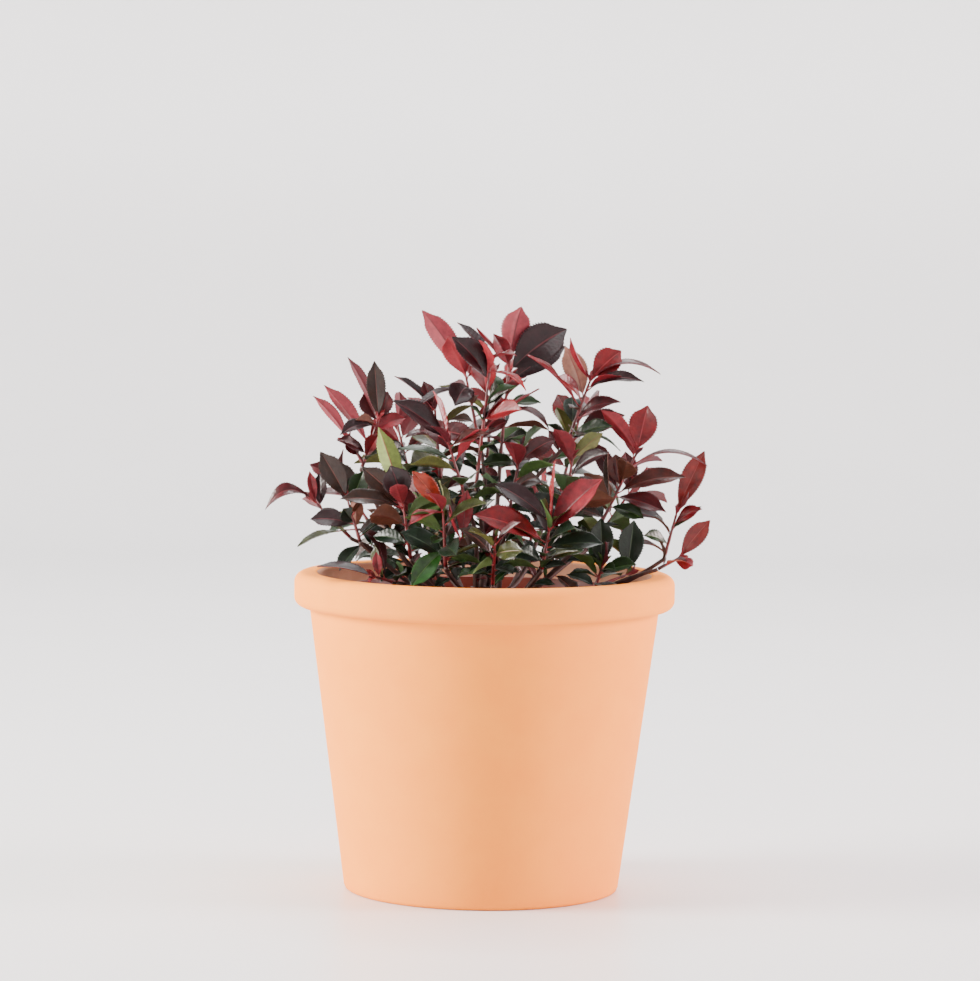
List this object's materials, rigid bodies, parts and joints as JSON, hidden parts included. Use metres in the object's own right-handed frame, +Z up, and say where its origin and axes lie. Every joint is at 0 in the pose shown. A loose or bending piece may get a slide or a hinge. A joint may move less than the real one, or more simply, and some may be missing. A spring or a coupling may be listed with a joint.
{
  "type": "potted little red robin photinia",
  "caption": "Dwarf red-leaved photinia shrub with crimson, plum and dark green leaves in a plain round terracotta pot with a rolled rim.",
  "frame": {"origin": "centre of the pot's flat underside, on the surface it stands on", "axes": "+Z up along the pot's axis, +X to the right and -Y towards the viewer of the front"},
  "size_m": [0.278, 0.24, 0.3678],
  "materials": {
    "clay": "matt, unglazed",
    "plastic": "satin",
    "soil": "crumbly",
    "bark": "young bark",
    "leaf": "glossy leaf"
  },
  "bodies": {
    "root": {"pot": "clay", "grow_pot": "plastic", "compost": "soil", "stem": "bark", "bough_top": "bark", "bough_top_left": "bark", "bough_upper_left": "bark", "bough_top_centre": "bark", "bough_upper_right": "bark", "bough_right": "bark", "bough_far_right": "bark", "bough_far_right_low": "bark", "bough_low_right": "bark", "bough_front_centre": "bark", "bough_front_left": "bark", "bough_centre_left": "bark", "bough_left_top": "bark", "bough_left": "bark", "bough_far_left": "bark", "bough_inner_left": "bark", "bough_rim_left": "bark", "bough_centre": "bark", "bough_centre_right": "bark", "bough_low_centre": "bark", "bough_low_left": "bark", "bough_back_high": "bark", "bough_back_left_high": "bark", "bough_back_right_high": "bark", "bough_back_left": "bark", "bough_back_right": "bark", "bough_back_low_left": "bark", "bough_back_low_right": "bark", "foliage_top": "leaf", "foliage_top_left": "leaf", "foliage_upper_left": "leaf", "foliage_top_centre": "leaf", "foliage_upper_right": "leaf", "foliage_right": "leaf", "foliage_far_right": "leaf", "foliage_far_right_low": "leaf", "foliage_low_right": "leaf", "foliage_front_centre": "leaf", "foliage_front_left": "leaf", "foliage_centre_left": "leaf", "foliage_left_top": "leaf", "foliage_left": "leaf", "foliage_far_left": "leaf", "foliage_inner_left": "leaf", "foliage_rim_left": "leaf", "foliage_centre": "leaf", "foliage_centre_right": "leaf", "foliage_low_centre": "leaf", "foliage_low_left": "leaf", "foliage_back_high": "leaf", "foliage_back_left_high": "leaf", "foliage_back_right_high": "leaf", "foliage_back_left": "leaf", "foliage_back_right": "leaf", "foliage_back_low_left": "leaf", "foliage_back_low_right": "leaf"}
  },
  "joints": []
}
